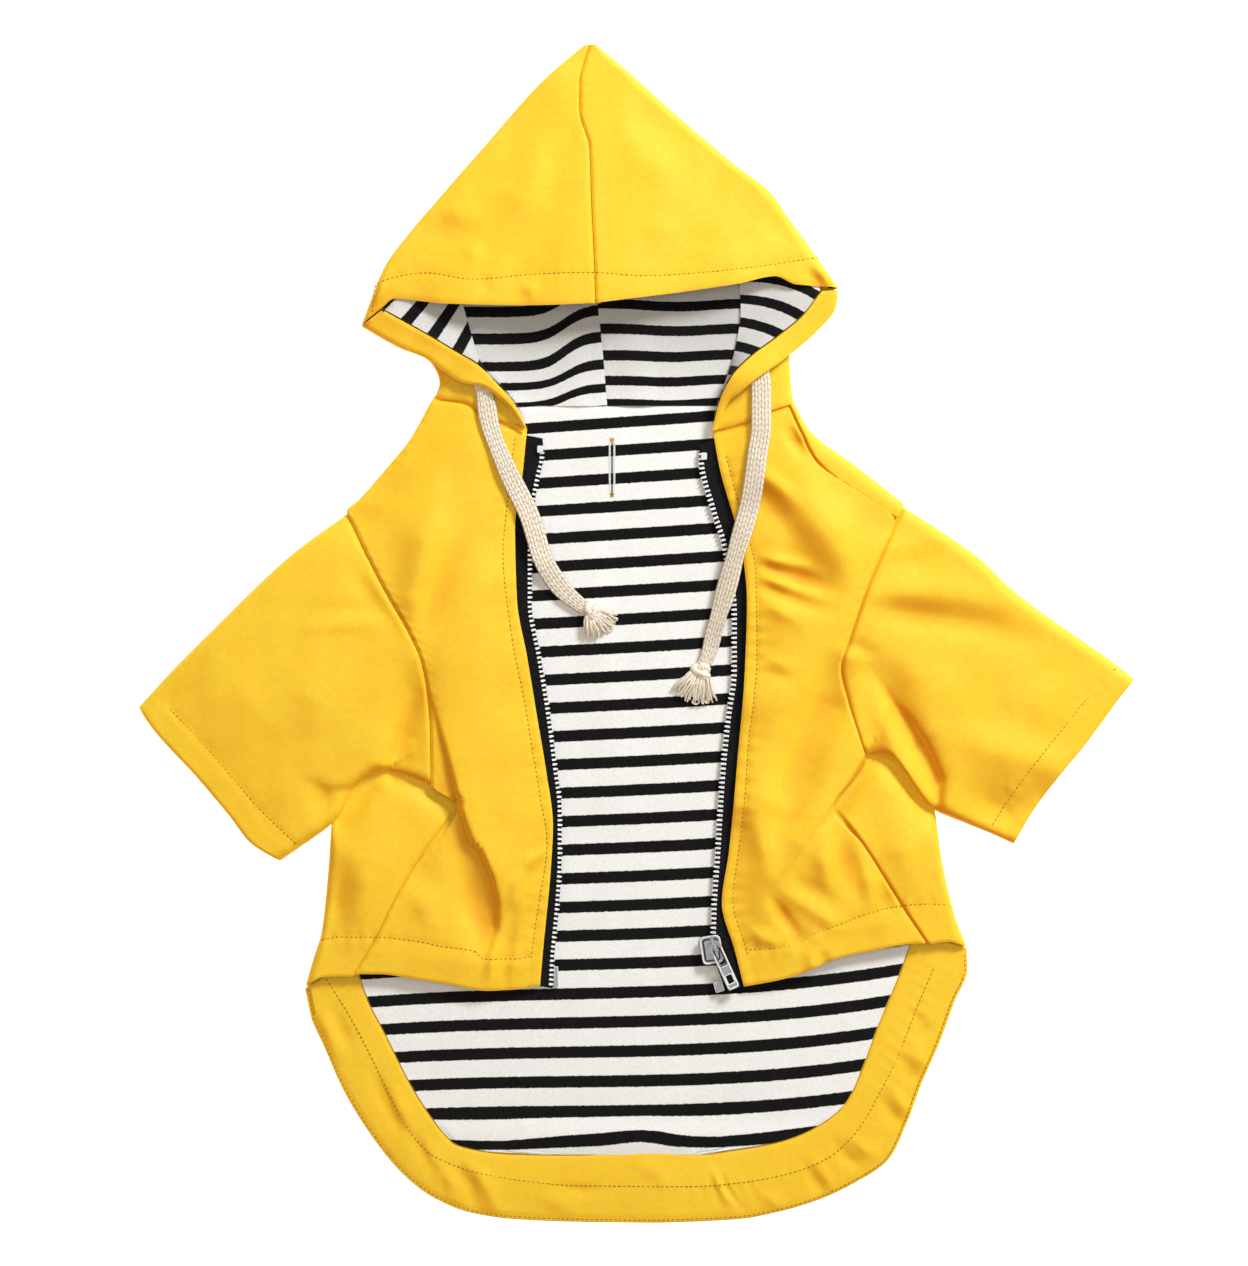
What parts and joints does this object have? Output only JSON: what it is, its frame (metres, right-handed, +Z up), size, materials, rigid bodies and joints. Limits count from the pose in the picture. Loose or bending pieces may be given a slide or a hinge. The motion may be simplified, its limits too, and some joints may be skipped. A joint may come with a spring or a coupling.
{
  "type": "dog raincoat",
  "caption": "Hooded dog raincoat laid flat on its back, front zip open over a striped lining, with short sleeves, drawcords at the hood and a long scooped back hem.",
  "frame": {"origin": "on the surface the coat lies on, under the middle of its length and width", "axes": "+Y from the hem towards the point of the hood, +Z up from the surface, +X to the right of a viewer above with the hood at the top"},
  "size_m": [0.4994, 0.5909, 0.0203],
  "materials": {
    "shell": "coated waterproof fabric, smooth with a soft sheen",
    "lining": "matt cotton jersey with narrow black stripes on white",
    "zip_tape": "black herringbone zip tape",
    "zip_metal": "plated zip metal, satin",
    "cord": "flat braided cotton, unbleached"
  },
  "bodies": {
    "garment": {"hood_left": "shell", "hood_right": "shell", "hood_facing_left": "shell", "hood_facing_right": "shell", "hood_lining_left": "lining", "hood_lining_right": "lining", "cheek_lining_left": "lining", "cheek_lining_right": "lining", "front_left": "shell", "front_right": "shell", "sleeve_left": "shell", "sleeve_right": "shell", "back_outer": "shell", "hem_facing": "shell", "back_lining": "lining", "zip_tape_left": "zip_tape", "zip_tape_right": "zip_tape", "zip_stop_left": "zip_metal", "zip_stop_right": "zip_metal", "zip_pin": "zip_metal", "zip_box": "zip_metal", "slider": "zip_metal", "knot_left": "cord", "knot_right": "cord", "drawcord_left": "cord", "drawcord_right": "cord"},
    "pull_tab": {"pull_tab": "zip_metal"}
  },
  "joints": [
    {"name": "pull_tab_swing", "type": "hinge", "parent": "garment", "child": "pull_tab", "pos_m": [0.039, -0.15525, 0.0084], "axis": [-0.9102, -0.4141, 0], "range_deg": [0, 165]}
  ]
}
